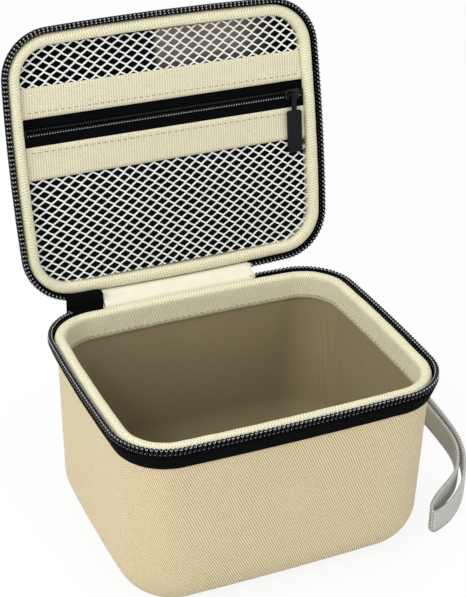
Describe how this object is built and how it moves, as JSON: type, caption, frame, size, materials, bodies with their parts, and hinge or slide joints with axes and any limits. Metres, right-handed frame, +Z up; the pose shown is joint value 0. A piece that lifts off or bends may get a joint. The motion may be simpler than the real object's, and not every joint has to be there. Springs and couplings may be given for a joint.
{
  "type": "zipped hard case",
  "caption": "Moulded foam case with a zip round its rim, a hinged domed lid with a zipped net pocket, and a webbing wrist loop.",
  "frame": {"origin": "middle of the flat underside of the tub", "axes": "+X along the long side to the side with the wrist loop, +Y to the hinge at the back, +Z up; the lid is stored open"},
  "size_m": [0.1842, 0.1733, 0.2193],
  "materials": {
    "cover_cloth": "fine twill, matt",
    "foam": "moulded closed-cell foam",
    "lining_cloth": "smooth knit, matt",
    "binding_cloth": "ribbed woven tape",
    "zip_tape": "herringbone woven tape",
    "zip_coil": "moulded nylon coil",
    "hinge_satin": "satin strip",
    "net_thread": "knitted diamond net",
    "band_cloth": "woven band",
    "black_metal": "satin black paint on zinc",
    "black_rubber": "smooth matt moulding",
    "webbing": "ribbed flat webbing"
  },
  "bodies": {
    "tub": {"tub_cover": "cover_cloth", "tub_shell": "foam", "tub_lining": "lining_cloth", "tub_binding": "binding_cloth", "tub_zip_tape": "zip_tape", "tub_zip_row": "zip_coil", "tub_row_stop": "hinge_satin", "hinge_spine_tub": "cover_cloth", "hinge_panel_tub": "hinge_satin", "zip_parked_chain": "zip_coil", "zip_parked_tape": "zip_tape", "zip_parked_stop": "black_metal", "strap_anchor": "webbing"},
    "lid": {"lid_cover": "cover_cloth", "lid_shell": "foam", "lid_lining": "lining_cloth", "lid_binding": "binding_cloth", "lid_zip_tape": "zip_tape", "lid_zip_row": "zip_coil", "lid_row_stop": "hinge_satin", "hinge_spine_lid": "cover_cloth", "hinge_panel_lid": "hinge_satin", "pocket_net_upper": "net_thread", "pocket_net_lower": "net_thread", "pocket_band_upper": "band_cloth", "pocket_band_lower": "band_cloth", "pocket_tape_upper": "zip_tape", "pocket_tape_lower": "zip_tape", "pocket_chain": "zip_coil", "pocket_stops": "black_metal"},
    "main_slider": {"main_slider": "black_metal"},
    "main_pull": {"main_pull": "black_rubber"},
    "pocket_slider": {"pocket_slider": "black_metal"},
    "pocket_pull": {"pocket_pull": "black_rubber"},
    "wrist_loop": {"wrist_loop": "webbing"}
  },
  "joints": [
    {"name": "lid_hinge", "type": "hinge", "parent": "tub", "child": "lid", "pos_m": [0, 0.0653, 0.092], "axis": [1, 0, 0], "range_deg": [-13, 101.6]},
    {"name": "main_zip_slide", "type": "slide", "parent": "tub", "child": "main_slider", "axis": [1, 0, 0], "range_m": [0, 0.0043]},
    {"name": "main_pull_swing", "type": "hinge", "parent": "main_slider", "child": "main_pull", "pos_m": [-0.05365, 0.06855, 0.092], "axis": [1, 0, 0], "range_deg": [-12, 65]},
    {"name": "pocket_zip_slide", "type": "slide", "parent": "lid", "child": "pocket_slider", "axis": [1, 0, 0], "range_m": [-0.127, 0]},
    {"name": "pocket_pull_swing", "type": "hinge", "parent": "pocket_slider", "child": "pocket_pull", "pos_m": [0.0635, 0.08317, 0.17235], "axis": [-1, 0, 0], "range_deg": [0, 150]},
    {"name": "wrist_loop_swing", "type": "hinge", "parent": "tub", "child": "wrist_loop", "pos_m": [0.0757, 0.0231, 0.065], "axis": [0, 0, 1], "range_deg": [-6, 30]}
  ]
}
